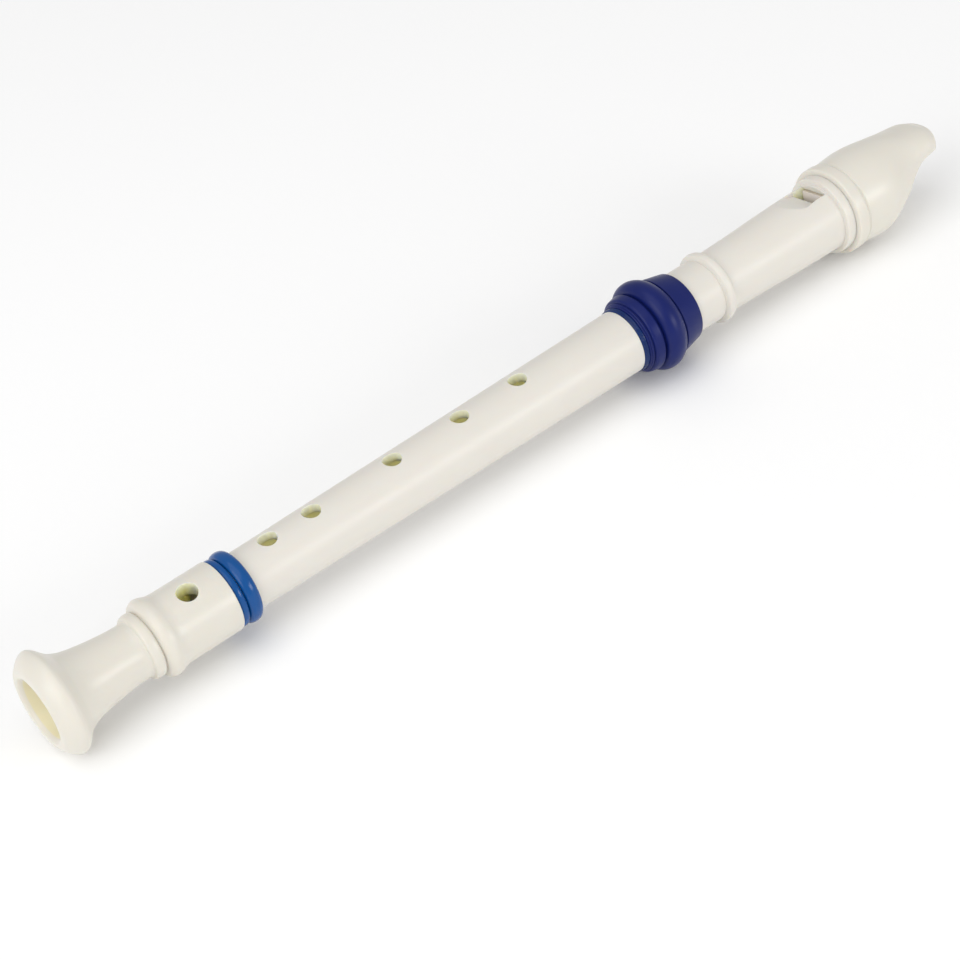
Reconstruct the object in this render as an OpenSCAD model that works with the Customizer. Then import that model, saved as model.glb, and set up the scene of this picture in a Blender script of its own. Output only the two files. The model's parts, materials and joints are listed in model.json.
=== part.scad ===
// Soprano recorder in three joints: foot, middle and head.
// Millimetres. X runs along the bore from the bell mouth (x = 0) to the beak tip,
// +Z points to the five finger holes of the middle joint.

/* [Joint turns] */
// Turn of the foot joint on the lower tenon, degrees about +X (its hole leans toward -Y)
foot_turn = 14.85; // [-180:0.05:180]
// Turn of the head joint on the upper tenon, degrees about +X
head_turn = -6; // [-180:0.5:180]

/* [Overall length] */
// Whole length from bell mouth to beak tip
recorder_length = 322.5; // [318:0.5:332]

/* [Foot joint] */
// Largest radius of the bell
bell_radius = 15; // [13:0.1:17]
// Radius of the bell's mouth opening
bell_mouth_radius = 9.2; // [8:0.1:10]
// Radius of the foot's straight bore
foot_bore_radius = 5.6; // [5:0.05:6.2]
// Outer radius of the foot's socket tube
foot_tube_radius = 10.25; // [9.5:0.05:11]
// Position of the rim where the foot's tube meets its rings
foot_rim_x = 56.4; // [54:0.1:58]
// Radius of the nose under the two foot rings
foot_nose_radius = 8.9; // [8.6:0.05:8.95]
// Position of the foot's low finger hole
foot_hole_x = 46.5; // [45:0.1:47.5]
// Radius of the foot's finger hole
foot_hole_radius = 2.95; // [2:0.05:3.2]

/* [Foot rings] */
// Width of the small ring along the recorder
small_ring_width = 2.3; // [1.5:0.1:3]
// Outer radius of the small ring
small_ring_radius = 9.9; // [9.4:0.05:10.5]
// Width of the large ring along the recorder
large_ring_width = 4.1; // [3:0.1:5]
// Outer radius of the large ring
large_ring_radius = 10.4; // [10:0.05:11.5]

/* [Middle joint] */
// Where the visible middle tube starts, against the large foot ring
middle_start_x = 63; // [62.9:0.05:64]
// Where the visible middle tube ends, at its blue end ring
middle_end_x = 197; // [194:0.1:197]
// Outer radius at the lower end
middle_lower_radius = 8.4; // [8.2:0.05:9]
// Outer radius at the upper end
middle_upper_radius = 9.6; // [9.2:0.05:10]
// Bore radius at the lower end
middle_lower_bore = 5.75; // [5.2:0.05:6.2]
// Bore radius at the upper end
middle_upper_bore = 6.8; // [6.2:0.05:7.2]
// Length of the lower tenon in the foot
lower_tenon_length = 12.5; // [8:0.1:12.7]
// Radius of the lower tenon
lower_tenon_radius = 7.8; // [7.4:0.05:7.85]
// Length of the upper tenon in the head
upper_tenon_length = 20; // [12:0.5:20.3]
// Radius of the upper tenon
upper_tenon_radius = 8.6; // [8.2:0.05:8.65]
// Radius of the finger holes
finger_hole_radius = 2.75; // [2:0.05:3]
// Depth of the soft edge round each finger hole
hole_edge = 0.45; // [0.1:0.05:0.8]

/* [Upper end ring] */
// Width of the bright ring at the top of the middle joint
end_ring_width = 1.5; // [1:0.1:1.6]
// Outer radius of the bright ring
end_ring_radius = 9.95; // [9.7:0.05:10.6]

/* [Head joint] */
// Largest radius of the blue sleeve
sleeve_radius = 14.2; // [13:0.1:15]
// Where the sleeve ends on the barrel
sleeve_end_x = 218.5; // [216:0.5:222]
// Outer radius of the barrel under and beside the sleeve
barrel_radius = 9.7; // [9.4:0.05:10]
// Radius of the head's bore
head_bore_radius = 7; // [6.6:0.05:7.2]
// Radius of the flange ring against the mouthpiece
flange_radius = 12.2; // [11.5:0.1:13]
// Radius of the spigot inside the mouthpiece
spigot_radius = 11.2; // [10.6:0.05:11.4]

/* [Window] */
// Position of the sharp labium edge
labium_x = 272.2; // [270:0.1:274]
// Position of the window's upstream wall, where the windway opens
window_end_x = 276; // [275:0.1:276.4]
// Height of the labium edge above the axis
labium_z = 7.9; // [7.4:0.05:8.4]
// Where the labium ramp reaches the barrel's surface
ramp_start_x = 262.5; // [258:0.5:266]
// Half width of the window
window_half_width = 4.9; // [4:0.1:5.2]
// Extra half width of the ramp at its shallow end
ramp_flare = 0.8; // [0:0.1:1.5]

/* [Windway] */
// Height of the windway's floor where it opens into the window
windway_floor_z = 8; // [7.7:0.05:8.2]
// Height of the windway's roof where it opens into the window
windway_roof_z = 9.1; // [8.8:0.05:9.2]
// Height of the windway's middle at the beak tip
windway_tip_z = 6.3; // [5.8:0.05:6.8]
// Height of the windway opening at the beak tip
windway_tip_height = 1.3; // [0.8:0.05:1.6]

/* [Mouthpiece] */
// Where the mouthpiece meets the flange ring
cap_start_x = 280.05; // [280.05:0.05:281]
// Radius of the mouthpiece's bead ring
cap_ring_radius = 13.95; // [13:0.05:14.2]
// Largest radius of the beak
beak_radius = 14.15; // [13:0.05:14.5]
// Radius of the windway block
block_radius = 7.6; // [7.2:0.05:7.6]
// Length of the windway block
block_length = 23.5; // [16:0.5:24]

/* [Hidden] */

$fn = 72;
running_gap = 0.05;
finger_hole_xs = [73.4, 87.7, 115, 138.5, 159.3];
large_ring_x = foot_rim_x + small_ring_width + running_gap;
nose_end_x = large_ring_x + large_ring_width;
lower_tenon_end_x = middle_start_x - lower_tenon_length;
foot_socket_end_x = lower_tenon_end_x - 0.3;
end_ring_seat_radius = 8.9;
end_ring_x = middle_end_x + running_gap;
head_start_x = end_ring_x + end_ring_width + running_gap;
upper_tenon_end_x = head_start_x + upper_tenon_length;
head_socket_end_x = upper_tenon_end_x + 0.4;
cap_socket_end_x = 290;
floor_slope = (windway_tip_z - windway_tip_height / 2 - windway_floor_z) / (recorder_length - window_end_x);
roof_slope = (windway_tip_z + windway_tip_height / 2 - windway_roof_z) / (recorder_length - window_end_x);
block_end_x = window_end_x + block_length;
beak_tip_x = recorder_length;
ivory = [0.91, 0.89, 0.84];
cream = [0.91, 0.88, 0.80];
bright_blue = [0.11, 0.30, 0.59];
navy = [0.14, 0.18, 0.42];
block_white = [0.90, 0.86, 0.82];

// A turned body from a closed list of [radius, x] points.
module turned(profile) {
    rotate([0, 90, 0])
        rotate_extrude()
            polygon(profile);
}

// A plate seen from the side: a closed list of [x, z] points, centred on y = 0.
module side_plate(outline, width) {
    rotate([90, 0, 0])
        translate([0, 0, -width / 2])
            linear_extrude(height = width)
                polygon(outline);
}

// A ring with a rounded outside, from x0 to x0 + width.
module round_ring(x0, width, outer, bore, shoulder) {
    turned([
        [bore, x0],
        [outer - shoulder, x0],
        [outer - shoulder * 0.35, x0 + width * 0.12],
        [outer - shoulder * 0.08, x0 + width * 0.3],
        [outer, x0 + width * 0.5],
        [outer - shoulder * 0.08, x0 + width * 0.7],
        [outer - shoulder * 0.35, x0 + width * 0.88],
        [outer - shoulder, x0 + width],
        [bore, x0 + width]
    ]);
}

// A finger hole straight down through the wall, with a softened edge.
module finger_hole(x, radius, surface) {
    translate([x, 0, surface - 6])
        cylinder(h = 8, r = radius);
    translate([x, 0, surface - 0.43 - hole_edge])
        cylinder(h = 1.2, r1 = radius, r2 = radius + 1.2);
}

module foot_joint() {
    color(cream)
        rotate([foot_turn, 0, 0])
            difference() {
                turned([
                    [foot_bore_radius, 14],
                    [5.95, 10.5],
                    [6.7, 7],
                    [7.7, 4],
                    [8.6, 2],
                    [bell_mouth_radius, 0.9],
                    [9.9, 0.25],
                    [10.5, 0],
                    [11.2, 0],
                    [12.1, 0.6],
                    [13.3, 1.7],
                    [14.3, 3],
                    [bell_radius - 0.15, 4.1],
                    [bell_radius, 5],
                    [14.6, 6],
                    [13.4, 7],
                    [12.3, 8],
                    [11.4, 9],
                    [10.4, 11],
                    [9.75, 13],
                    [9.35, 15],
                    [8.85, 18],
                    [8.35, 22],
                    [8.0, 26],
                    [7.95, 28],
                    [8.25, 29.2],
                    [9.2, 29.4],
                    [9.5, 30],
                    [9.5, 31.8],
                    [9.25, 32.4],
                    [8.8, 32.8],
                    [9.4, 33.3],
                    [10.4, 33.9],
                    [11.1, 34.8],
                    [11.3, 35.8],
                    [11.1, 36.9],
                    [10.6, 38],
                    [10.3, 39],
                    [foot_tube_radius, 39.6],
                    [foot_tube_radius, foot_rim_x - 0.5],
                    [foot_tube_radius - 0.4, foot_rim_x],
                    [foot_nose_radius, foot_rim_x],
                    [foot_nose_radius, nose_end_x],
                    [lower_tenon_radius + running_gap, nose_end_x],
                    [lower_tenon_radius + running_gap, foot_socket_end_x],
                    [foot_bore_radius, foot_socket_end_x]
                ]);
                finger_hole(foot_hole_x, foot_hole_radius, foot_tube_radius);
            }
}

module foot_ring_small() {
    color(bright_blue)
        round_ring(foot_rim_x, small_ring_width, small_ring_radius, foot_nose_radius, 0.7);
}

module foot_ring_large() {
    color(bright_blue)
        round_ring(large_ring_x, large_ring_width, large_ring_radius, foot_nose_radius + running_gap, 1);
}

// The tube with its tapered bore, five finger holes and a tenon at each end.
module middle_tube() {
    color(ivory)
        difference() {
            turned([
                [middle_lower_bore, lower_tenon_end_x],
                [lower_tenon_radius - 0.4, lower_tenon_end_x],
                [lower_tenon_radius, lower_tenon_end_x + 0.6],
                [lower_tenon_radius, lower_tenon_end_x + 2.6],
                [lower_tenon_radius - 0.3, lower_tenon_end_x + 3],
                [lower_tenon_radius - 0.3, lower_tenon_end_x + 8.8],
                [lower_tenon_radius, lower_tenon_end_x + 9.2],
                [lower_tenon_radius, middle_start_x],
                [middle_lower_radius - 0.25, middle_start_x],
                [middle_lower_radius, middle_start_x + 0.3],
                [middle_upper_radius, middle_end_x],
                [end_ring_seat_radius, middle_end_x],
                [end_ring_seat_radius, head_start_x - running_gap],
                [upper_tenon_radius, head_start_x - running_gap],
                [upper_tenon_radius, head_start_x + 6],
                [upper_tenon_radius - 0.3, head_start_x + 6.4],
                [upper_tenon_radius - 0.3, upper_tenon_end_x - 4],
                [upper_tenon_radius, upper_tenon_end_x - 3.6],
                [upper_tenon_radius, upper_tenon_end_x - 0.7],
                [upper_tenon_radius - 0.5, upper_tenon_end_x],
                [middle_upper_bore, upper_tenon_end_x]
            ]);
            for (x = finger_hole_xs)
                finger_hole(x, finger_hole_radius, middle_surface(x));
        }
}

module middle_end_ring() {
    color(bright_blue)
        round_ring(end_ring_x, end_ring_width, end_ring_radius, end_ring_seat_radius + running_gap, 0.35);
}

module head_sleeve() {
    color(navy)
        turned([
            [barrel_radius, head_start_x],
            [10.4, head_start_x],
            [10.7, 198.9],
            [10.7, 199.8],
            [11.5, 200.1],
            [12, 200.8],
            [12, 202.8],
            [11.7, 203.5],
            [11.3, 203.7],
            [11.3, 203.9],
            [12.5, 204.2],
            [13.6, 205],
            [sleeve_radius - 0.1, 206.1],
            [sleeve_radius, 207.1],
            [sleeve_radius - 0.15, 208.3],
            [13.5, 209.6],
            [12.6, 210.6],
            [11.8, 211.1],
            [11.8, 211.4],
            [12.2, 211.6],
            [10.7, sleeve_end_x],
            [barrel_radius, sleeve_end_x]
        ]);
}

// The window cut through the wall, with the labium ramp in front of it.
module window_cut() {
    translate([labium_x, -window_half_width, 4])
        cube([window_end_x - labium_x, 2 * window_half_width, 10]);
    translate([labium_x - 6, -window_half_width, 4])
        cube([7, 2 * window_half_width, labium_z - 4.3]);
    intersection() {
        side_plate([
            [ramp_start_x, 10.6],
            [labium_x + 0.01, labium_z],
            [labium_x + 0.01, 14],
            [ramp_start_x, 14]
        ], 20);
        linear_extrude(height = 20)
            polygon([
                [ramp_start_x, -window_half_width - ramp_flare],
                [labium_x + 0.01, -window_half_width],
                [labium_x + 0.01, window_half_width],
                [ramp_start_x, window_half_width + ramp_flare]
            ]);
    }
}

// The windway's roof over the seat of the block's tongue, from x0 to x1.
module windway_channel(x0, x1, bottom_z) {
    side_plate([
        [x0, bottom_z],
        [x1, bottom_z],
        [x1, windway_roof(x1)],
        [x0, windway_roof(x0)]
    ], 2 * window_half_width);
}

module head_barrel() {
    color(ivory)
        rotate([head_turn, 0, 0])
            difference() {
                turned([
                    [upper_tenon_radius + running_gap, head_start_x],
                    [barrel_radius, head_start_x],
                    [barrel_radius, 229],
                    [10.35, 229.4],
                    [10.9, 230.1],
                    [11.05, 231],
                    [10.9, 231.9],
                    [10.35, 232.7],
                    [9.75, 233.1],
                    [9.7, 235],
                    [10, 247],
                    [10.3, 255],
                    [10.55, 263],
                    [10.7, 271],
                    [10.75, 276.5],
                    [11.3, 276.7],
                    [flange_radius - 0.2, 276.9],
                    [flange_radius, 277.2],
                    [flange_radius, 279.7],
                    [flange_radius - 0.3, 280],
                    [spigot_radius, 280],
                    [spigot_radius, cap_socket_end_x - 0.1],
                    [block_radius, cap_socket_end_x - 0.1],
                    [block_radius, window_end_x],
                    [head_bore_radius, window_end_x],
                    [head_bore_radius, head_socket_end_x],
                    [upper_tenon_radius + running_gap, head_socket_end_x]
                ]);
                window_cut();
                windway_channel(window_end_x, cap_socket_end_x + 1, 0);
            }
}

// The plug that closes the head's bore and makes the windway floor.
module windway_block() {
    color(block_white)
        rotate([head_turn, 0, 0])
            difference() {
                union() {
                    translate([window_end_x, 0, 0])
                        rotate([0, 90, 0])
                            cylinder(h = block_length, r = block_radius);
                    translate([window_end_x, -window_half_width, 0])
                        cube([cap_socket_end_x - window_end_x - 0.1, 2 * window_half_width, 10]);
                }
                side_plate([
                    [window_end_x - 1, windway_floor(window_end_x - 1)],
                    [block_end_x + 1, windway_floor(block_end_x + 1)],
                    [block_end_x + 1, 14],
                    [window_end_x - 1, 14]
                ], 24);
            }
}

// The beak seen from the side: flat bill above, long hollow cut below.
module beak_side() {
    side_plate([
        [280, -16],
        [293, -14.2],
        [295, -13.1],
        [297, -10.8],
        [298.5, -8.6],
        [300, -6.6],
        [301.7, -4.8],
        [303.5, -3.2],
        [307, -0.5],
        [310, 1.4],
        [313, 2.6],
        [316, 3.2],
        [319, 3.5],
        [beak_tip_x - 1.1, 3.7],
        [beak_tip_x - 0.3, 4],
        [beak_tip_x, 4.7],
        [beak_tip_x, 8],
        [beak_tip_x - 0.3, 8.7],
        [beak_tip_x - 1.1, 9.1],
        [319, 9.95],
        [316, 10.65],
        [313, 11.3],
        [310, 12],
        [307, 12.7],
        [303.5, 13.3],
        [298, 14],
        [280, 16]
    ], 40);
}

// The beak seen from above: sides drawing in to a rounded tip.
module beak_plan() {
    translate([0, 0, -20])
        linear_extrude(height = 40)
            polygon([
                [280, -16],
                [297, -14],
                [300, -13.3],
                [303.5, -12.2],
                [307, -10.9],
                [310, -10],
                [313, -9.5],
                [beak_tip_x - 5, -9.1],
                [beak_tip_x - 4.2, -8.8],
                [beak_tip_x - 2.6, -7.4],
                [beak_tip_x - 1.3, -5.4],
                [beak_tip_x - 0.4, -3.1],
                [beak_tip_x, -0.5],
                [beak_tip_x, 0.5],
                [beak_tip_x - 0.4, 3.1],
                [beak_tip_x - 1.3, 5.4],
                [beak_tip_x - 2.6, 7.4],
                [beak_tip_x - 4.2, 8.8],
                [beak_tip_x - 5, 9.1],
                [313, 9.5],
                [310, 10],
                [307, 10.9],
                [303.5, 12.2],
                [300, 13.3],
                [297, 14],
                [280, 16]
            ]);
}

// The cap on the head's spigot: a bead ring, then the beak with its windway.
module mouthpiece() {
    color(cream)
        rotate([head_turn, 0, 0])
            difference() {
                intersection() {
                    turned([
                        [0, cap_start_x],
                        [cap_ring_radius - 0.9, cap_start_x],
                        [cap_ring_radius - 0.3, 280.6],
                        [cap_ring_radius, 281.6],
                        [cap_ring_radius, 283.1],
                        [cap_ring_radius - 0.25, 283.9],
                        [13.3, 284.4],
                        [13.3, 284.7],
                        [13.55, 285],
                        [14, 290],
                        [beak_radius, 294],
                        [beak_radius, beak_tip_x + 1],
                        [0, beak_tip_x + 1]
                    ]);
                    beak_side();
                    beak_plan();
                }
                translate([cap_start_x - 1, 0, 0])
                    rotate([0, 90, 0])
                        cylinder(h = cap_socket_end_x - cap_start_x + 1, r = spigot_radius);
                translate([cap_socket_end_x - 1, 0, 0])
                    rotate([0, 90, 0])
                        cylinder(h = block_end_x - cap_socket_end_x + 1, r = block_radius);
                side_plate([
                    [cap_socket_end_x - 1, windway_floor(cap_socket_end_x - 1)],
                    [beak_tip_x + 1, windway_floor(beak_tip_x + 1)],
                    [beak_tip_x + 1, windway_roof(beak_tip_x + 1)],
                    [cap_socket_end_x - 1, windway_roof(cap_socket_end_x - 1)]
                ], 2 * window_half_width);
            }
}

// Heights of the windway's floor and roof, and the middle tube's radius, at x
function windway_floor(x) = windway_floor_z + floor_slope * (x - window_end_x);
function windway_roof(x) = windway_roof_z + roof_slope * (x - window_end_x);
function middle_surface(x) = middle_lower_radius
    + (middle_upper_radius - middle_lower_radius) * (x - middle_start_x) / (middle_end_x - middle_start_x);

foot_joint();
foot_ring_small();
foot_ring_large();
middle_tube();
middle_end_ring();
head_sleeve();
head_barrel();
windway_block();
mouthpiece();
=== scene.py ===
"""Soprano recorder: looks and fine meshes on the CAD frame.

Lengths are in millimetres. Names that end in _m or _M, the floor, the lights, the camera and the shaders' sockets
are in metres.
"""

import json
import math

import bmesh
import bpy
import numpy as np
from mathutils import Matrix, Vector

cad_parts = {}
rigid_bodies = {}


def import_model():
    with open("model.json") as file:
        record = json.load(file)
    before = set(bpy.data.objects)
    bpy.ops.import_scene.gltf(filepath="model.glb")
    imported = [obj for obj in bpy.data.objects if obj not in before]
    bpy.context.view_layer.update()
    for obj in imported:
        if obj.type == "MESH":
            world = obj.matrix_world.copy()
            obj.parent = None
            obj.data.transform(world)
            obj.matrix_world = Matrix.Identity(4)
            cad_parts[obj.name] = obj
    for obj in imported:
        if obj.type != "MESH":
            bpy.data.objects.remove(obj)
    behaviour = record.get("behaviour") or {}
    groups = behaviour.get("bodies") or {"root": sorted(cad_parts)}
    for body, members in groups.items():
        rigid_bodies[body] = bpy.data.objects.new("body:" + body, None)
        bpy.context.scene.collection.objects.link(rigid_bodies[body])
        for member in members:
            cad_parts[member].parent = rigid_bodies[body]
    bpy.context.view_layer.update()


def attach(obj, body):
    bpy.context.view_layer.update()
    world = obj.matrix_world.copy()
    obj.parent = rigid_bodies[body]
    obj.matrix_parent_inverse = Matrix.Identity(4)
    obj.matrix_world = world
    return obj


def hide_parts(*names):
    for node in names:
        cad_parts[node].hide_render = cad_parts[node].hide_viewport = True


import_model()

MM = 0.001
COLUMNS = 192  # columns round every turned surface
FOOT_TURN = 14.85  # degrees about +X, as in the CAD
HEAD_TURN = -6.0

# The same sizes as the CAD.
HOLE_XS = (73.4, 87.7, 115, 138.5, 159.3)
HOLE_R = 2.75
FOOT_HOLE_X = 46.5
FOOT_HOLE_R = 2.95
LABIUM_X, LABIUM_Z = 272.2, 7.9
EXIT_X = 276.0
RAMP_X, RAMP_Z = 262.5, 10.6
HALF_W, FLARE = 4.9, 0.8
FLOOR_Z, ROOF_Z = 8.0, 9.1
TIP_X, TIP_Z, TIP_GAP = 322.5, 6.3, 1.3
CAP_X, CAP_END_X = 280.05, 290.0
BLOCK_END_X = 299.5
SPIGOT_R, BLOCK_R, BORE_R = 11.2, 7.6, 7.0

# Sizes of this mesh only.
BARREL_END_X = 289.9  # the barrel's spigot stops just short of the step in the cap
HOLE_RIM = 0.15  # rounding of a finger hole's edge
HOLE_ROWS = 21  # rows of points across the block round a finger hole
WALL_STEPS = (0.35, 0.7, 1.0)  # shares of a hole's depth that have a ring of points
# Past WALL_ANGLE a hole's rim takes the INNER material and its painted glow.
WALL_ANGLE = 0.9  # radians round a rim from which the hole's own material starts
# INNER and MOUTH carry a painted glow that stands in for light shining through the plastic.
OUTER, INNER, MOUTH = 0, 1, 2  # material numbers within a mesh

ANGLES = np.linspace(-math.pi, math.pi, COLUMNS, endpoint=False)
TOP = COLUMNS // 2  # the column at the top, phi = 0


# ---------------------------------------------------------------- paths of (x, r)


def rounded(*points, steps=5):
    """A path through (x, r, setback) corners, each rounded by its setback; two numbers make a sharp corner."""
    pts = [np.array(p[:2], float) for p in points]
    out = [pts[0]]
    for i in range(1, len(pts) - 1):
        v, a, b = pts[i], pts[i - 1] - pts[i], pts[i + 1] - pts[i]
        back = points[i][2] if len(points[i]) > 2 else 0
        la, lb = np.linalg.norm(a), np.linalg.norm(b)
        p, q = v + a / la * min(back, la / 2), v + b / lb * min(back, lb / 2)
        for t in np.linspace(0, 1, steps + 1) if back else (0.5,):
            out.append((1 - t) ** 2 * p + 2 * t * (1 - t) * v + t * t * q)
    return np.array(out + [pts[-1]])


def spline(*points, steps=5):
    """A smooth path that passes through every (x, r) point (centripetal Catmull-Rom)."""
    p = np.array(points, float)
    p = np.vstack([2 * p[0] - p[1], p, 2 * p[-1] - p[-2]])
    out = []
    for a, b, c, d in zip(p, p[1:], p[2:], p[3:]):
        t1 = np.linalg.norm(b - a) ** 0.5
        t2 = t1 + np.linalg.norm(c - b) ** 0.5
        t3 = t2 + np.linalg.norm(d - c) ** 0.5
        for t in np.linspace(t1, t2, steps, endpoint=False):
            ab = a + (b - a) * t / t1
            bc = b + (c - b) * (t - t1) / (t2 - t1)
            cd = c + (d - c) * (t - t2) / (t3 - t2)
            abc = ab + (bc - ab) * t / t2
            bcd = bc + (cd - bc) * (t - t1) / (t3 - t1)
            out.append(abc + (bcd - abc) * (t - t1) / (t2 - t1))
    return np.array(out + [p[-2]])


def join(*paths):
    """One path from several, without points that repeat."""
    p = np.vstack(paths)
    keep = [p[0]] + [b for a, b in zip(p, p[1:]) if np.linalg.norm(b - a) > 1e-3]
    return np.array(keep)


def with_rows(path, xs):
    """The path with a point at each x of xs in place of those between them; it runs straight there, either way."""
    way = 1 if path[-1][0] > path[0][0] else -1
    xs = xs[::way]
    along = path[:, 0] * way
    a = int(np.argmax(along > xs[0] * way - 1e-3))
    b = int(np.argmax(along > xs[-1] * way + 1e-3))
    ends = path[[a - 1, b]][::way]
    return np.vstack([path[:a], np.column_stack([xs, np.interp(xs, ends[:, 0], ends[:, 1])]), path[b:]])


# ---------------------------------------------------------------- meshes


class Mesh:
    """Points and faces gathered piece by piece, then welded into one object."""

    def __init__(self):
        self.points, self.faces, self.kinds, self.n = [], [], [], 0

    def add(self, pts):
        pts = np.asarray(pts, float).reshape(-1, 3)
        self.points.append(pts)
        self.n += len(pts)
        return np.arange(self.n - len(pts), self.n)

    def strip(self, a, b, closed=False, kind=OUTER):
        """Quads between two rows of vertex numbers."""
        n = len(a)
        for k in range(n if closed else n - 1):
            m = (k + 1) % n
            self.faces.append((int(a[k]), int(a[m]), int(b[m]), int(b[k])))
            self.kinds.append(kind)

    def sheet(self, rows, closed=False, kind=OUTER):
        """A grid of quads through rows of points."""
        ids = [self.add(r) for r in rows]
        for a, b in zip(ids, ids[1:]):
            self.strip(a, b, closed, kind)
        return ids

    def build(self, name, body, node, materials, turn=0.0, sharp=38):
        """The object, turned by turn degrees about +X, with edges over sharp degrees left hard."""
        pts = np.vstack(self.points) * MM
        c, s = math.cos(math.radians(turn)), math.sin(math.radians(turn))
        pts = np.column_stack([pts[:, 0], c * pts[:, 1] - s * pts[:, 2], s * pts[:, 1] + c * pts[:, 2]])
        me = bpy.data.meshes.new(name)
        me.from_pydata(pts.tolist(), [], self.faces)
        for m in materials:
            me.materials.append(m)
        me.polygons.foreach_set("material_index", self.kinds)
        bm = bmesh.new()
        bm.from_mesh(me)
        bmesh.ops.remove_doubles(bm, verts=bm.verts, dist=3e-6)
        bmesh.ops.recalc_face_normals(bm, faces=bm.faces)
        for f in bm.faces:
            f.smooth = True
        for e in bm.edges:
            if len(e.link_faces) == 2 and e.calc_face_angle(0) > math.radians(sharp):
                e.smooth = False
        bm.to_mesh(me)
        bm.free()
        ob = bpy.data.objects.new(name, me)
        bpy.context.scene.collection.objects.link(ob)
        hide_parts(node)
        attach(ob, body)
        return ob


def ring(x, r, angles=ANGLES):
    """A circle of points round the axis, one for each column."""
    return np.column_stack([np.full(len(angles), x), r * np.sin(angles), r * np.cos(angles)])


def fanned(edge, half):
    """The columns' angles, moved so that the columns at plus and minus half stand at plus and minus edge."""
    rest, a = half * 2 * math.pi / COLUMNS, np.abs(ANGLES)
    near = a * edge / rest
    far = math.pi - (math.pi - a) * (math.pi - edge) / (math.pi - rest)
    return np.sign(ANGLES) * np.where(a <= rest, near, far)


def revolve(mesh, path, skip=(), kinds=None, angles=None):
    """Turns a closed path of (x, r) points. skip holds (rows, half columns): quads left out there, for a patch."""
    angles = angles or {}
    ids = [mesh.add(ring(x, r, angles.get(i, ANGLES))) for i, (x, r) in enumerate(path)]
    columns = np.arange(COLUMNS + 1)
    for i in range(len(path)):
        k = (i + 1) % len(path)
        kind = OUTER if kinds is None else kinds(i)
        half = max([h for rows, h in skip if i in rows and k in rows], default=0)
        if half:
            cols = columns[TOP + half :].tolist() + columns[: TOP - half + 1].tolist()
            cols = [c % COLUMNS for c in cols]
            cols = [c for n, c in enumerate(cols) if n == 0 or c != cols[n - 1]]
            mesh.strip(ids[i][cols], ids[k][cols], kind=kind)
        else:
            mesh.strip(ids[i], ids[k], True, kind)
    return ids


def border(rows, half):
    """The (row, column) cycle round a skipped block; rows run from low x to high x."""
    j0, j1 = TOP - half, TOP + half
    cycle = [(rows[0], j) for j in range(j0, j1)] + [(i, j1) for i in rows[:-1]]
    return cycle + [(rows[-1], j) for j in range(j1, j0, -1)] + [(i, j0) for i in rows[:0:-1]]


def rows_between(path, x0, x1, first=0):
    """Row numbers of the points with x from x0 to x1, from low x to high x, counted in the joined path from first."""
    hit = [i for i, p in enumerate(path) if x0 - 1e-6 <= p[0] <= x1 + 1e-6]
    hit.sort(key=lambda i: path[i][0])
    return [first + i for i in hit]


class Block:
    """A block of a turned surface, left open for a hole."""

    def __init__(self, path, ids, rows, half):
        self.cycle = border(rows, half)
        self.px, self.pr = path[rows, 0], path[rows, 1]
        self.x = np.array([path[i][0] for i, _ in self.cycle])
        self.phi = np.array([ANGLES[j] for _, j in self.cycle])
        self.ids = np.array([ids[i][j] for i, j in self.cycle])

    def radius(self, x):
        return np.interp(x, self.px, self.pr)

    def height(self, x, y):
        return np.sqrt(np.maximum(self.radius(x) ** 2 - y**2, 0.01))

    def fill(self, mesh, loop, steps=8, kind=OUTER):
        """Rings from the border in to a loop of (x, y) points; returns the loop's vertex numbers."""
        x1, phi1 = loop[:, 0], np.arcsin(np.clip(loop[:, 1] / self.radius(loop[:, 0]), -1, 1))
        last = self.ids
        for w in np.linspace(1, 0, steps + 1)[1:]:
            x, phi = x1 + (self.x - x1) * w, phi1 + (self.phi - phi1) * w
            r = self.radius(x)
            new = mesh.add(np.column_stack([x, r * np.sin(phi), r * np.cos(phi)]))
            mesh.strip(last, new, True, kind)
            last = new
        return last

    def rim(self, mesh, last, loop, outward, size, kind=OUTER, steps=6):
        """A rounded rim that follows the surface, from loop + outward * size down to the loop itself."""
        for a in np.linspace(0, math.pi / 2, steps + 1)[1:]:
            xy = loop + outward * (size * (1 - math.sin(a)))[:, None]
            z = self.height(xy[:, 0], xy[:, 1]) - size * (1 - math.cos(a))
            new = mesh.add(np.column_stack([xy, z]))
            mesh.strip(last, new, True, kind if a > WALL_ANGLE else OUTER)
            last = new
        return last


def drill(mesh, outer, inner, x0, radius):
    """A finger hole through the outer and inner blocks."""
    theta = np.arctan2(outer.radius(outer.x) * np.sin(outer.phi), outer.x - x0)
    unit = np.column_stack([np.cos(theta), np.sin(theta)])
    loop = np.array([x0, 0.0]) + unit * radius
    size = np.full(len(theta), HOLE_RIM)
    last = outer.rim(mesh, outer.fill(mesh, loop + unit * size[:, None]), loop, unit, size, INNER)
    z_out, z_in = outer.height(*loop.T) - size, inner.height(*loop.T)
    for w in WALL_STEPS:
        new = mesh.add(np.column_stack([loop, z_out + (z_in - z_out) * w]))
        mesh.strip(last, new, True, INNER)
        last = new
    mesh.strip(last, inner.fill(mesh, loop, 5, INNER), True, INNER)


# ---------------------------------------------------------------- materials


def material(name, color, roughness, **sockets):
    m = bpy.data.materials.new(name)
    m.use_nodes = True
    shader = m.node_tree.nodes["Principled BSDF"]
    shader.inputs["Base Color"].default_value = (*color, 1)
    shader.inputs["Roughness"].default_value = roughness
    for key, value in sockets.items():
        shader.inputs[key.replace("_", " ")].default_value = value
    return m


MIX_FACTOR, MIX_A, MIX_B, MIX_RESULT = 0, 6, 7, 2  # a colour mix node's sockets
GRAIN_HEIGHT_M = 0.0003


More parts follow.
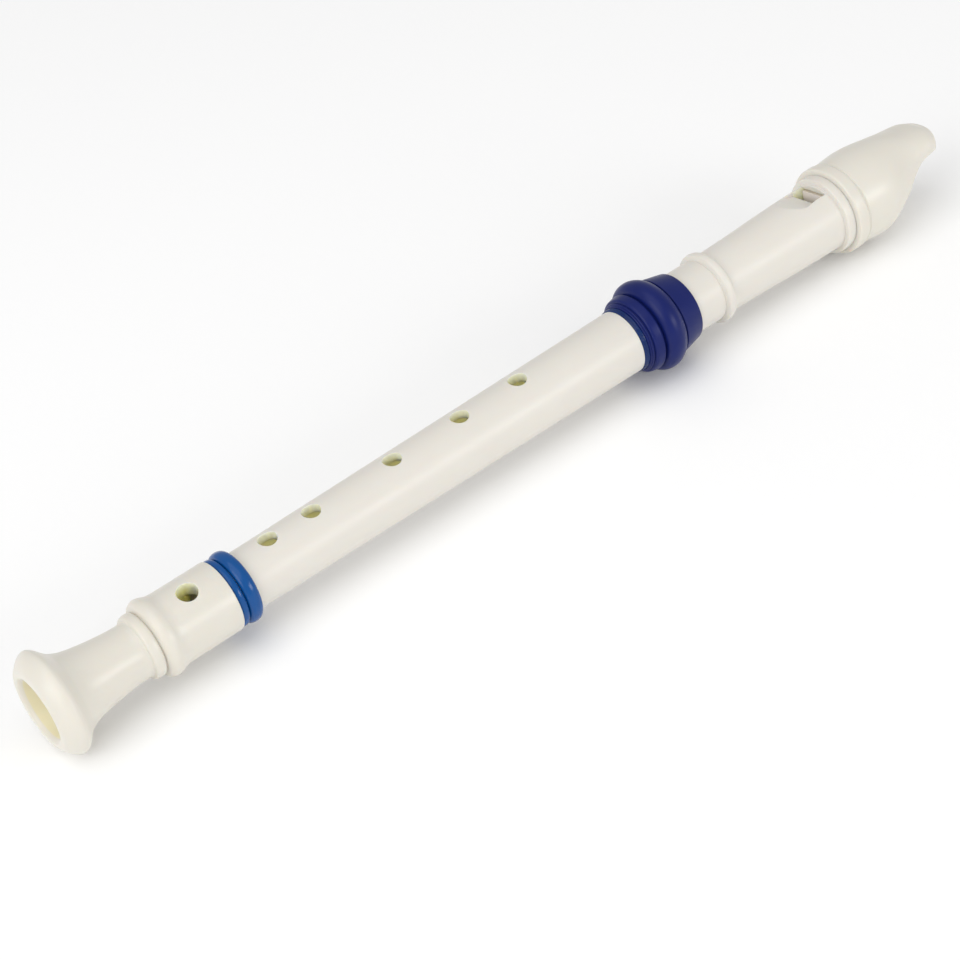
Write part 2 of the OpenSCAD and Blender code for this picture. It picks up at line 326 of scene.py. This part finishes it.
def textured(m, tint, scale=60.0, rough=(0.3, 0.4), bump=0.02, fine=900.0):
    """Slow changes of tint and gloss, and a fine moulded grain."""
    nodes, links = m.node_tree.nodes, m.node_tree.links
    shader = nodes["Principled BSDF"]
    base = tuple(shader.inputs["Base Color"].default_value)
    coords = nodes.new("ShaderNodeTexCoord")

    def noise(size, detail):
        n = nodes.new("ShaderNodeTexNoise")
        n.inputs["Scale"].default_value, n.inputs["Detail"].default_value = size, detail
        links.new(coords.outputs["Object"], n.inputs["Vector"])
        return n.outputs["Fac"]

    mix = nodes.new("ShaderNodeMix")
    mix.data_type = "RGBA"
    mix.inputs[MIX_A].default_value, mix.inputs[MIX_B].default_value = base, (*tint, 1)
    links.new(noise(scale, 4), mix.inputs[MIX_FACTOR])
    links.new(mix.outputs[MIX_RESULT], shader.inputs["Base Color"])
    gloss = nodes.new("ShaderNodeMapRange")
    gloss.inputs["To Min"].default_value, gloss.inputs["To Max"].default_value = rough
    links.new(noise(scale * 2.3, 1), gloss.inputs["Value"])
    links.new(gloss.outputs["Result"], shader.inputs["Roughness"])
    bumps = nodes.new("ShaderNodeBump")
    bumps.inputs["Strength"].default_value = bump
    bumps.inputs["Distance"].default_value = GRAIN_HEIGHT_M
    links.new(noise(fine, 3), bumps.inputs["Height"])
    links.new(bumps.outputs["Normal"], shader.inputs["Normal"])
    return m


SKIN = dict(Subsurface_Weight=0.22, Subsurface_Radius=(1.0, 0.62, 0.35), Subsurface_Scale=0.0025,
            Specular_IOR_Level=0.42)
LIT = dict(SKIN, Subsurface_Weight=1.0, Subsurface_Radius=(1.0, 0.9, 0.6), Subsurface_Scale=0.012)
ivory = textured(material("ivory_abs", (0.74, 0.711, 0.652), 0.28, **SKIN),
                 (0.725, 0.692, 0.63), rough=(0.32, 0.42), bump=0.006)
cream = textured(material("cream_abs", (0.735, 0.706, 0.635), 0.28, **SKIN),
                 (0.72, 0.687, 0.61), rough=(0.26, 0.34), bump=0.006)
# Painted glow: the bore, the hole walls and the window's walls get a brighter, yellower copy of the ivory that stands
# in for light shining through the plastic; the LIT subsurface adds real scattering on top.
inside_painted_glow = textured(material("ivory_inside_painted_glow", (0.97, 0.91, 0.60), 0.42, **LIT), (0.95, 0.88, 0.56), bump=0.006)
# Painted glow: the bell's bore gets a yellower copy of the cream that stands in for light shining through its flared
# wall.
mouth_painted_glow = textured(material("bell_bore_painted_glow", (0.79, 0.735, 0.51), 0.35, **SKIN),
                 (0.77, 0.71, 0.485), rough=(0.32, 0.38), bump=0.006)
# The windway block's own pale pinkish tone, raised to near white as painted light against the shade of the window it
# sits under.
pale_and_painted_light = textured(material("block_white", (1.0, 0.94, 0.92), 0.45), (0.99, 0.90, 0.87), bump=0.006)
blue = textured(material("bright_blue", (0.003, 0.080, 0.29), 0.18, Specular_IOR_Level=0.3),
                (0.002, 0.066, 0.25), rough=(0.14, 0.22), bump=0.006)
glint = textured(material("ring_glint", (0.001, 0.010, 0.070), 0.12, Specular_IOR_Level=0.3),
                 (0.001, 0.028, 0.15), scale=260.0, rough=(0.06, 0.16), bump=0.25, fine=1100.0)
navy = textured(material("navy_satin", (0.004, 0.010, 0.093), 0.34, Specular_IOR_Level=0.2),
                (0.008, 0.016, 0.13), scale=140.0, rough=(0.26, 0.40), bump=0.03)

# ---------------------------------------------------------------- foot joint

# Past LIP_END_X the bell's bore is painted with the yellow glow of MOUTH, and past MOUTH_END_X with that of INNER.
LIP_END_X, MOUTH_END_X = 1.3, 14  # inside the bell: where the lip and the flared mouth end
FOOT_SPAN = 4.8  # how far the block outside reaches from the hole's centre
FOOT_SPAN_LOW, FOOT_SPAN_HIGH = 3.4, 3.3  # how far the block in the bore does, to each side
FOOT_HALF = 21  # columns to each side of the hole

foot_out = join(
    spline((0.4, 9.3), (0.08, 9.75), (0.0, 10.4), (0.25, 11.4), (0.95, 12.45), (1.95, 13.5), (3.0, 14.35),
           (4.1, 14.88), (5.0, 14.95), (6.0, 14.45), (7.0, 13.4), (8.0, 12.3), (9.0, 11.4), (11.0, 10.4),
           (13.0, 9.77), (15.0, 9.35), (18.0, 8.85), (22.0, 8.35), (26.0, 8.0), (28.2, 7.95)),
    spline((28.2, 7.95), (29.0, 8.02), (29.6, 8.25), (29.85, 8.8), (30.2, 9.12), (30.9, 9.3), (31.7, 9.35),
           (32.5, 9.22), (32.85, 8.95)),
    rounded((32.85, 8.95), (33.0, 8.6, 0.12), (33.2, 8.6, 0.1), (33.3, 9.4, 0.15)),
    spline((33.3, 9.4), (33.55, 10.15), (34.1, 10.8), (35.0, 11.2), (35.8, 11.28), (36.9, 11.08), (38.0, 10.65),
           (39.1, 10.36), (40.2, 10.26), (41.0, 10.25)),
    rounded((41.0, 10.25), (56.4, 10.25, 0.35), (56.4, 8.9), (62.84, 8.9, 0.1), (62.84, 7.85, 0.1), (62.0, 7.85)),
)
foot_in = join(
    rounded((62.0, 7.85), (50.2, 7.85), (50.2, 5.6, 0.15), (49.8, 5.6)),
    rounded((49.8, 5.6), (14.0, 5.6)),
    spline((14.0, 5.6), (10.5, 5.95), (7.0, 6.7), (4.0, 7.65), (2.2, 8.35), (1.1, 8.8), (0.4, 9.3)),
)
out_ends = FOOT_HOLE_X - FOOT_SPAN, FOOT_HOLE_X + FOOT_SPAN
in_ends = FOOT_HOLE_X - FOOT_SPAN_LOW, FOOT_HOLE_X + FOOT_SPAN_HIGH
foot_out = with_rows(foot_out, np.linspace(*out_ends, HOLE_ROWS))
foot_in = with_rows(foot_in, np.linspace(*in_ends, HOLE_ROWS))[1:-1]
foot_path = np.vstack([foot_out, foot_in])
foot_first_in = len(foot_out)
rows_o = rows_between(foot_out, *out_ends)
rows_i = rows_between(foot_in, *in_ends, foot_first_in)


def foot_kind(i):
    """The material of the strip after row i: its own colour outside and on the lip, a painted glow in the bell's
    bore.
    """
    x = foot_path[i][0]
    if i < foot_first_in - 1 or x < LIP_END_X:
        return OUTER
    return INNER if x > MOUTH_END_X else MOUTH


mesh = Mesh()
ids = revolve(mesh, foot_path, [(set(rows_o), FOOT_HALF), (set(rows_i), FOOT_HALF)], foot_kind)
drill(mesh, Block(foot_path, ids, rows_o, FOOT_HALF), Block(foot_path, ids, rows_i, FOOT_HALF),
      FOOT_HOLE_X, FOOT_HOLE_R)
mesh.build("foot_shell", "foot", "foot_joint", [cream, inside_painted_glow, mouth_painted_glow], FOOT_TURN)


# ---------------------------------------------------------------- turned rings


def band(name, body, node, path, look=blue):
    """A turned piece with no hole in its side."""
    m = Mesh()
    revolve(m, path)
    m.build(name, body, node, [look])


def bead(x0, x1, r0, r1, fullness=2.3):
    """The outside of a round ring from x0 to x1 that stands from r0 out to r1."""
    t = np.linspace(0, math.pi, 25)
    c, up = np.cos(t), np.sin(t)
    x = (x0 + x1) / 2 - (x1 - x0) / 2 * np.sign(c) * np.abs(c) ** (2 / fullness)
    return np.column_stack([x, r0 + (r1 - r0) * up ** (2 / fullness)])


band("foot_ring_a", "foot", "foot_ring_small",
     join([(57.5, 8.9)], bead(56.42, 58.68, 8.9, 9.95), [(57.6, 8.9)]))
band("foot_ring_b", "foot_collar", "foot_ring_large",
     join([(60.0, 8.95)], bead(58.77, 62.84, 8.95, 10.5, 2.15), [(60.1, 8.95)]))
band("middle_ring", "head_collar", "middle_end_ring",
     rounded((197.8, 8.95), (197.06, 8.95), (197.06, 9.75, 0.25), (197.45, 10.0, 0.15), (197.62, 9.8, 0.1),
             (197.8, 10.0, 0.12), (197.98, 9.8, 0.1), (198.2, 10.0, 0.15), (198.54, 9.98, 0.05), (198.54, 8.95),
             (197.9, 8.95), steps=3), look=glint)

# ---------------------------------------------------------------- middle joint

MIDDLE_SPAN, MIDDLE_SPAN_IN = 5, 4  # how far the blocks outside and in the bore reach from a hole's centre
MIDDLE_HALF = 19  # columns to each side of a hole
TAPER_XS, TAPER_RS = (63.0, 197.0), (8.4, 9.6)  # the tube's outside
BORE_XS, BORE_RS = (50.5, 218.6), (5.75, 6.8)  # the tube's bore

mid_out = rounded(
    (51.5, 5.75), (50.5, 5.75, 0.1), (50.5, 7.8, 0.5), (53.1, 7.8), (53.5, 7.5), (59.3, 7.5), (59.7, 7.8),
    (63.0, 7.8), (63.0, 8.4, 0.25), (197.0, 9.6, 0.1), (197.0, 8.9), (198.55, 8.9), (198.55, 8.6), (204.6, 8.6),
    (205.0, 8.3), (214.6, 8.3), (215.0, 8.6), (218.6, 8.6, 0.7), (218.6, 6.8, 0.15), (217.6, 6.79))
lead = int(np.argmax(mid_out[:, 0] > HOLE_XS[0] - MIDDLE_SPAN))  # where the holes' rows go in
outer_xs = np.concatenate([np.linspace(x0 - MIDDLE_SPAN, x0 + MIDDLE_SPAN, HOLE_ROWS) for x0 in HOLE_XS])
outer = np.column_stack([outer_xs, np.interp(outer_xs, TAPER_XS, TAPER_RS)])
mid_out = np.vstack([mid_out[:lead], outer, mid_out[lead:]])
inner_xs = np.concatenate([np.linspace(x0 - MIDDLE_SPAN_IN, x0 + MIDDLE_SPAN_IN, HOLE_ROWS) for x0 in HOLE_XS])
inner_xs = inner_xs[::-1]  # the path comes back through the bore
inner = np.column_stack([inner_xs, np.interp(inner_xs, BORE_XS, BORE_RS)])
mid_path = np.vstack([mid_out, inner])
mid_first_in = len(mid_out)
outer_rows, inner_rows = [], []
for k in range(len(HOLE_XS)):
    first = lead + HOLE_ROWS * k
    outer_rows.append(list(range(first, first + HOLE_ROWS)))
    first = mid_first_in + HOLE_ROWS * (len(HOLE_XS) - 1 - k)
    inner_rows.append(list(range(first, first + HOLE_ROWS))[::-1])
mesh = Mesh()
# The bore takes the INNER material with its painted glow.
ids = revolve(mesh, mid_path, [(set(r), MIDDLE_HALF) for r in outer_rows + inner_rows],
              lambda i: INNER if i >= mid_first_in - 1 else OUTER)
for x0, rows_o, rows_i in zip(HOLE_XS, outer_rows, inner_rows):
    drill(mesh, Block(mid_path, ids, rows_o, MIDDLE_HALF), Block(mid_path, ids, rows_i, MIDDLE_HALF), x0, HOLE_R)
mesh.build("middle_body", "middle", "middle_tube", [ivory, inside_painted_glow])

# ---------------------------------------------------------------- head: sleeve

sleeve_path = join(
    rounded((204.0, 9.7), (198.62, 9.7, 0.1), (198.62, 10.25, 0.15), (198.9, 10.5, 0.15), (199.1, 10.3, 0.08),
            (199.3, 10.75, 0.15), (199.6, 10.85, 0.12), (199.72, 10.55, 0.08), (199.95, 10.55, 0.1),
            (200.1, 11.25, 0.2), (200.5, 11.6, 0.3), (202.9, 12.1, 0.5), (203.3, 11.1, 0.12), (203.9, 11.0, 0.12)),
    spline((203.9, 11.3), (204.1, 12.1), (204.7, 13.0), (205.7, 13.68), (207.1, 13.95), (208.5, 13.78), (209.8, 13.2),
           (210.7, 12.55), (211.1, 11.85)),
    rounded((211.1, 11.85), (211.2, 11.75, 0.08), (211.4, 11.75, 0.08), (211.5, 12.2, 0.2), (218.5, 10.7, 0.12),
            (218.5, 9.7), (205.0, 9.7)),
)
band("sleeve", "head", "head_sleeve", sleeve_path, navy)

# ---------------------------------------------------------------- head: barrel with its window

N_RAMP, N_LIP, N_BACK = 16, 8, 4  # rows along the ramp, past its lip, and under it
WINDOW_HALF = 21  # columns to each side of the window's middle
ZONE_X0, ZONE_X1 = 259.5, 276.4  # the block round the window
RISING_X = 240  # past this the outside's path only runs towards higher x
WINDOW_RIM, RIM_SHARE = 0.22, 0.7  # the rim's greatest size, and its share of a shallow edge's depth
UNDER_X, UNDER_Z = LABIUM_X - 6, LABIUM_Z - 0.3  # the hollow under the ramp's lip

barrel_out = join(
    rounded((199.5, 8.65), (198.62, 8.65, 0.12), (198.62, 9.69), (228.5, 9.7, 0.1), (228.62, 9.55, 0.08),
            (228.9, 9.55, 0.08), (229.15, 10.35, 0.15)),
    spline((229.15, 10.35), (229.55, 10.92), (230.6, 11.15), (231.6, 10.95), (232.1, 10.35)),
    spline((232.1, 10.35), (232.35, 9.9), (232.9, 9.72), (236.0, 9.72), (241.0, 9.83), (247.0, 10.0), (255.0, 10.3),
           (263.0, 10.55), (271.0, 10.7), (ZONE_X1, 10.75)),
    rounded((ZONE_X1, 10.75), (276.75, 10.8, 0.1), (276.9, 12.2, 0.35), (280.0, 12.2, 0.25), (280.0, SPIGOT_R),
            (BARREL_END_X, SPIGOT_R)),
)
xs = barrel_out[:, 0]
zone = np.linspace(ZONE_X0, ZONE_X1, N_RAMP + N_LIP + 1)
barrel_out = np.vstack([
    barrel_out[xs < ZONE_X0 - 0.01],
    np.column_stack([zone, np.interp(zone, *barrel_out[xs > RISING_X].T)]),
    barrel_out[xs > ZONE_X1 + 0.01]])
lip_xs = np.linspace(LABIUM_X, EXIT_X, N_LIP + 1)
back_xs = np.linspace(UNDER_X, LABIUM_X, N_BACK + 1)
bore_xs = np.concatenate([lip_xs[::-1], back_xs[-2::-1]])
barrel_in = np.vstack([
    [(BARREL_END_X, BLOCK_R), (EXIT_X, BLOCK_R)],
    np.column_stack([bore_xs, np.full(len(bore_xs), BORE_R)]),
    [(264.0, BORE_R), (219.2, BORE_R), (219.0, 7.1), (219.0, 8.65)]])
barrel_path = np.vstack([barrel_out, barrel_in])
first_in = len(barrel_out)
channel_end = first_in + 2 + len(bore_xs)
outer_rows = rows_between(barrel_out, ZONE_X0, ZONE_X1)
channel = set(range(first_in - 1, channel_end))
edges = {i: fanned(math.asin(HALF_W / barrel_path[i][1]), WINDOW_HALF) for i in range(first_in, channel_end)}
mesh = Mesh()
# The bore and the windway's channel take the INNER material with its painted glow.
ids = revolve(mesh, barrel_path, [(set(outer_rows), WINDOW_HALF), (channel, WINDOW_HALF)],
              lambda i: INNER if i >= first_in else OUTER, edges)
window = Block(barrel_path, ids, outer_rows, WINDOW_HALF)


def ramp_z(x):
    """The height of the ramp, which rises away from its lip."""
    return LABIUM_Z + (RAMP_Z - LABIUM_Z) * (LABIUM_X - x) / (LABIUM_X - RAMP_X)


def half_width(x):
    """Half the ramp's width, which flares away from its lip."""
    return HALF_W + FLARE * np.maximum(LABIUM_X - x, 0) / (LABIUM_X - RAMP_X)


def ramp_end(u):
    """Where the ramp's plane comes out through the barrel's surface, on the line y = u * half width."""
    lo, hi = RAMP_X - 2, LABIUM_X
    for _ in range(40):
        mid = (lo + hi) / 2
        if ramp_z(mid) > window.height(mid, u * half_width(mid)):
            lo = mid
        else:
            hi = mid
    return hi


def roof(x):
    """The windway's roof."""
    return ROOF_Z + (TIP_Z + TIP_GAP / 2 - ROOF_Z) * (x - EXIT_X) / (TIP_X - EXIT_X)


def floor(x):
    """The windway's floor."""
    return FLOOR_Z + (TIP_Z - TIP_GAP / 2 - FLOOR_Z) * (x - EXIT_X) / (TIP_X - EXIT_X)


# The window's edge, from the ramp's upper end round to the windway's mouth and back.
across = np.linspace(-1, 1, 2 * WINDOW_HALF + 1)
ends = np.array([ramp_end(u) for u in across])
side_xs = np.concatenate([ends[0] + (LABIUM_X - ends[0]) * np.linspace(0, 1, N_RAMP + 1), lip_xs[1:]])
side = np.column_stack([side_xs, half_width(side_xs)])
loop = np.vstack([
    np.column_stack([ends, across * half_width(ends)])[:-1],
    side[:-1],
    np.column_stack([np.full(len(across), EXIT_X), across[::-1] * HALF_W])[:-1],
    (side * (1, -1))[:0:-1],
])
tangent = np.roll(loop, -1, 0) - np.roll(loop, 1, 0)
outward = np.column_stack([-tangent[:, 1], tangent[:, 0]]) / np.linalg.norm(tangent, axis=1)[:, None]
if ((loop - loop.mean(0)) * outward).sum() < 0:
    outward = -outward
bottom_z = np.where(loop[:, 0] <= LABIUM_X + 1e-6, ramp_z(loop[:, 0]), LABIUM_Z - 2)
size = np.clip((window.height(*loop.T) - bottom_z) * RIM_SHARE, 0.0, WINDOW_RIM)
rim = window.rim(mesh, window.fill(mesh, loop + outward * size[:, None]), loop, outward, size)
n_c, n_s = 2 * WINDOW_HALF, N_RAMP + N_LIP
far = rim[n_c : n_c + n_s + 1]
front = rim[n_c + n_s : 2 * n_c + n_s + 1]
near = np.append(rim[2 * n_c + n_s :], rim[0])[::-1]

# The ramp, the sides, and the windway's channel through the spigot.
ramp_rows = []
for t in np.linspace(0, 1, N_RAMP + 1):
    x = ends + (LABIUM_X - ends) * t
    ramp_rows.append(np.column_stack([x, across * half_width(x), ramp_z(x)]))
ramp_ids = mesh.sheet(ramp_rows)
bore_edge = math.sqrt(BORE_R**2 - HALF_W**2)
seat_edge = math.sqrt(BLOCK_R**2 - HALF_W**2)
# The walls below the ramp's lip, under it and in the channel take the INNER material with its painted glow.
for rail, sign, column in ((far, 1, -1), (near, -1, 0)):
    y = sign * HALF_W
    mesh.strip(rail[: N_RAMP + 1], [row[column] for row in ramp_ids])
    low = mesh.add([(x, y, bore_edge) for x in lip_xs])
    mid = mesh.add([(x, y, (bore_edge + LABIUM_Z) / 2) for x in lip_xs])
    mesh.strip(rail[N_RAMP:], mid, kind=INNER)
    mesh.strip(mid, low, kind=INNER)
    mesh.sheet([[(x, y, z) for x in back_xs] for z in (bore_edge, UNDER_Z)], kind=INNER)
    mesh.sheet([[(x, y, seat_edge), (x, y, roof(x))] for x in (EXIT_X, BARREL_END_X)], kind=INNER)
ys = across * HALF_W
lip_row = [(LABIUM_X, y, LABIUM_Z) for y in ys]
mesh.strip(front, mesh.add([(EXIT_X, -y, ROOF_Z) for y in ys]))
mesh.sheet([[(x, y, roof(x)) for y in ys] for x in (EXIT_X, BARREL_END_X)], kind=INNER)
mesh.sheet([[(x, y, UNDER_Z) for y in ys] for x in (UNDER_X, LABIUM_X)] + [lip_row], kind=INNER)
mesh.sheet([[(UNDER_X, y, math.sqrt(BORE_R**2 - y * y)) for y in ys], [(UNDER_X, y, UNDER_Z) for y in ys]],
           kind=INNER)
mesh.build("barrel", "head", "head_barrel", [ivory, inside_painted_glow], HEAD_TURN, 32)

# ---------------------------------------------------------------- head: windway block

BLOCK_GAP = 0.02  # clearance in the seat and the slot
BLOCK_X0, BLOCK_X1 = EXIT_X + 0.05, BLOCK_END_X - 0.1
BLOCK_CENTRE_Z = 3.0  # where the end faces' rings meet

arc = np.linspace(math.asin(HALF_W / BLOCK_R), 2 * math.pi - math.asin(HALF_W / BLOCK_R), 80)


def block_section(x):
    """The block's outline: the windway's floor and the arc below it."""
    r = BLOCK_R - BLOCK_GAP
    top = [(x, y, floor(x)) for y in np.linspace(-HALF_W + BLOCK_GAP, HALF_W - BLOCK_GAP, 20)]
    return top + [(x, r * math.sin(a), r * math.cos(a)) for a in arc]


mesh = Mesh()
mesh.sheet([block_section(x) for x in np.linspace(BLOCK_X0, BLOCK_X1, 8)], True)
for x in (BLOCK_X0, BLOCK_X1):
    edge = np.array(block_section(x))
    centre = np.array([x, 0, BLOCK_CENTRE_Z])
    mesh.sheet([centre + (edge - centre) * w for w in (1.0, 0.66, 0.33, 0.001)], True)
mesh.build("block", "head", "windway_block", [pale_and_painted_light], HEAD_TURN)

# ---------------------------------------------------------------- head: mouthpiece

BEAK_X = 285.02  # where the turned ring ends and the beak's loft starts
NOSE, NOSE_CUT = 1.1, 1.0  # how far the beak's end is rounded, along the axis and across it
BOW_Y, BOW_POWER = 8.5, 2.2  # the tip's ends fall back by bow * |y / BOW_Y| ** BOW_POWER
SLOT_CORNER = 0.25  # small numbers make the slot's corners square
SLOT_LIP, SLOT_LIP_DEPTH = 0.12, 0.15  # how much wider the slot is at the very tip, and how far in

STATIONS = np.array([
    # x, half width, top, bottom, widest level, roundness above, roundness below, bow of the tip
    (BEAK_X, 13.55, 13.55, -13.55, 0.0, 2.0, 2.0, 0.0),
    (290.0, 14.00, 14.00, -14.00, 0.0, 2.0, 2.0, 0.0),
    (293.0, 14.15, 14.10, -14.10, 0.0, 2.0, 2.05, 0.0),
    (295.0, 14.10, 14.05, -13.10, 0.0, 2.0, 2.2, 0.0),
    (297.0, 13.95, 13.90, -10.80, 0.0, 2.0, 2.5, 0.0),
    (300.0, 13.30, 13.65, -6.60, 0.0, 2.0, 3.0, 0.0),
    (303.5, 12.15, 13.20, -3.20, 0.2, 2.05, 3.5, 0.0),
    (307.0, 10.85, 12.60, -0.50, 1.6, 2.15, 3.6, 0.1),
    (310.0, 9.95, 11.90, 1.40, 3.1, 2.3, 3.6, 0.15),
    (313.0, 9.45, 11.25, 2.50, 4.3, 2.5, 3.7, 0.5),
    (316.0, 9.20, 10.90, 3.00, 4.8, 2.5, 3.8, 1.1),
    (319.0, 9.05, 10.35, 3.20, 5.2, 2.5, 3.8, 1.9),
    (321.4, 8.80, 9.35, 3.40, 5.4, 2.4, 3.6, 2.8),
])


def eased(xs):
    """The stations' numbers at each x, on smooth curves through them."""
    table = spline(*STATIONS, steps=8)
    return np.column_stack([np.interp(xs, table[:, 0], column) for column in table.T])


def bowed(x, y, z, bow):
    """Points of a section whose ends fall back from x."""
    return np.column_stack([x - bow * np.abs(y / BOW_Y) ** BOW_POWER, y, z])


def power(value, exponent):
    """value to the exponent, with its sign kept."""
    return np.sign(value) * np.abs(value) ** exponent


SIN, COS = np.sin(ANGLES), np.cos(ANGLES)


def section(x, b, top, bottom, level, p, q, bow):
    """One section of the beak, from a row of STATIONS."""
    e = np.where(COS >= 0, 2 / p, 2 / q)
    z = level + np.where(COS >= 0, top - level, level - bottom) * power(COS, e)
    return bowed(x, b * power(SIN, e), z, bow)


def slot_section(x, half, low, high, bow=0.0):
    """The windway's outline, half wide to each side and from low to high."""
    z = (low + high) / 2 + (high - low) / 2 * power(COS, SLOT_CORNER)
    return bowed(x, half * power(SIN, SLOT_CORNER), z, bow)


def seat_section(x):
    """The block's seat with the windway's slot above it."""
    slot = np.minimum(roof(x) / np.maximum(COS, 0.01), HALF_W / np.maximum(np.abs(SIN), 0.01))
    r = np.maximum(BLOCK_R, np.where(COS > 0, slot, 0))
    return np.column_stack([np.full(COLUMNS, x), r * SIN, r * COS])


turned = np.vstack([
    rounded((CAP_END_X, SPIGOT_R), (CAP_X, SPIGOT_R, 0.1), (CAP_X, 12.85)),
    rounded((CAP_X, 12.95), (280.15, 13.95, 0.75), (283.95, 13.95, 0.7), (284.35, 13.3, 0.2), (284.7, 13.3, 0.15),
            (285.0, 13.53)),
])
loft = eased(np.linspace(BEAK_X, TIP_X - NOSE, 96))
rows = [ring(x, r) for x, r in turned] + [section(*row) for row in loft]
end_x, end_b, end_top, end_bottom, *end_shape = loft[-1]
for a in np.linspace(0, math.pi / 2, 10)[1:]:
    cut = NOSE_CUT * (1 - math.cos(a))
    rows.append(section(end_x + NOSE * math.sin(a), end_b - cut, end_top - cut, end_bottom + cut, *end_shape))
low, high, bow = floor(TIP_X), roof(TIP_X), end_shape[-1]
rows.append(slot_section(TIP_X, HALF_W + SLOT_LIP, low - SLOT_LIP, high + SLOT_LIP, bow))
rows.append(slot_section(TIP_X - SLOT_LIP_DEPTH, HALF_W, low, high, bow))
rows += [slot_section(x, HALF_W, floor(x), roof(x)) for x in (320, 315, 308, BLOCK_END_X)]
rows += [seat_section(x) for x in (BLOCK_END_X, CAP_END_X)]
mesh = Mesh()
ids = mesh.sheet(rows, True)
mesh.strip(ids[-1], ids[0], True)
mesh.build("beak", "head", "mouthpiece", [cream], HEAD_TURN, 34)

# ---------------------------------------------------------------- floor, light and camera

GROUND_HALF_M, GROUND_Z_M = 4.0, -0.0152  # the recorder just clears the floor
WORLD_STRENGTH = 0.57
LIGHTS_AIM_M = Vector((0.1625, 0, 0))
LENS_MM, SENSOR_MM = 87.32, 36
CAMERA_PLACE_M = Vector((-0.12940, -0.43023, 0.38713))
AZIMUTH, ELEVATION, ROLL = math.radians(32.15), math.radians(38.37), math.radians(-11.50)

corners = [(x * GROUND_HALF_M, y * GROUND_HALF_M, 0) for x, y in ((-1, -1), (1, -1), (1, 1), (-1, 1))]
ground_mesh = bpy.data.meshes.new("floor")
ground_mesh.from_pydata(corners, [], [(0, 1, 2, 3)])
ground_mesh.materials.append(material("floor", (1.0, 1.0, 1.0), 0.9))
ground = bpy.data.objects.new("floor", ground_mesh)
ground.location = (0.16, 0, GROUND_Z_M)
bpy.context.scene.collection.objects.link(ground)

world = bpy.data.worlds.new("studio")
bpy.context.scene.world = world
world.use_nodes = True
background = world.node_tree.nodes["Background"]
background.inputs["Color"].default_value = (1.0, 1.0, 1.0, 1)
background.inputs["Strength"].default_value = WORLD_STRENGTH


def area_light(name, place_m, size_m, power_w):
    """A soft lamp that stands at place_m from the recorder's middle and faces it."""
    data = bpy.data.lights.new(name, "AREA")
    data.shape, data.size, data.size_y = "RECTANGLE", size_m[0], size_m[1]
    data.energy = power_w
    ob = bpy.data.objects.new(name, data)
    ob.location = LIGHTS_AIM_M + Vector(place_m)
    ob.rotation_mode = "QUATERNION"
    ob.rotation_quaternion = (-Vector(place_m)).to_track_quat("-Z", "Y")
    bpy.context.scene.collection.objects.link(ob)


area_light("key", (0.80, -1.65, 0.55), (0.9, 0.6), 9.0)
area_light("top", (-0.60, -0.20, 1.90), (2.2, 1.8), 12.2)
area_light("fill", (-1.65, -0.35, 0.95), (1.4, 1.2), 12.3)

camera_data = bpy.data.cameras.new("camera")
camera_data.lens, camera_data.sensor_width = LENS_MM, SENSOR_MM
camera_data.clip_start, camera_data.clip_end = 0.01, 20
camera = bpy.data.objects.new("camera", camera_data)
bpy.context.scene.collection.objects.link(camera)
forward = Vector((math.sin(AZIMUTH) * math.cos(ELEVATION),
                  math.cos(AZIMUTH) * math.cos(ELEVATION),
                  -math.sin(ELEVATION)))
right = forward.cross(Vector((0, 0, 1))).normalized()
up = right.cross(forward)
right_rolled = right * math.cos(ROLL) + up * math.sin(ROLL)
up_rolled = up * math.cos(ROLL) - right * math.sin(ROLL)
turn = Matrix((right_rolled, up_rolled, -forward)).transposed()
camera.matrix_world = Matrix.Translation(CAMERA_PLACE_M) @ turn.to_4x4()
bpy.context.scene.camera = camera
bpy.context.scene.view_settings.view_transform = "Standard"
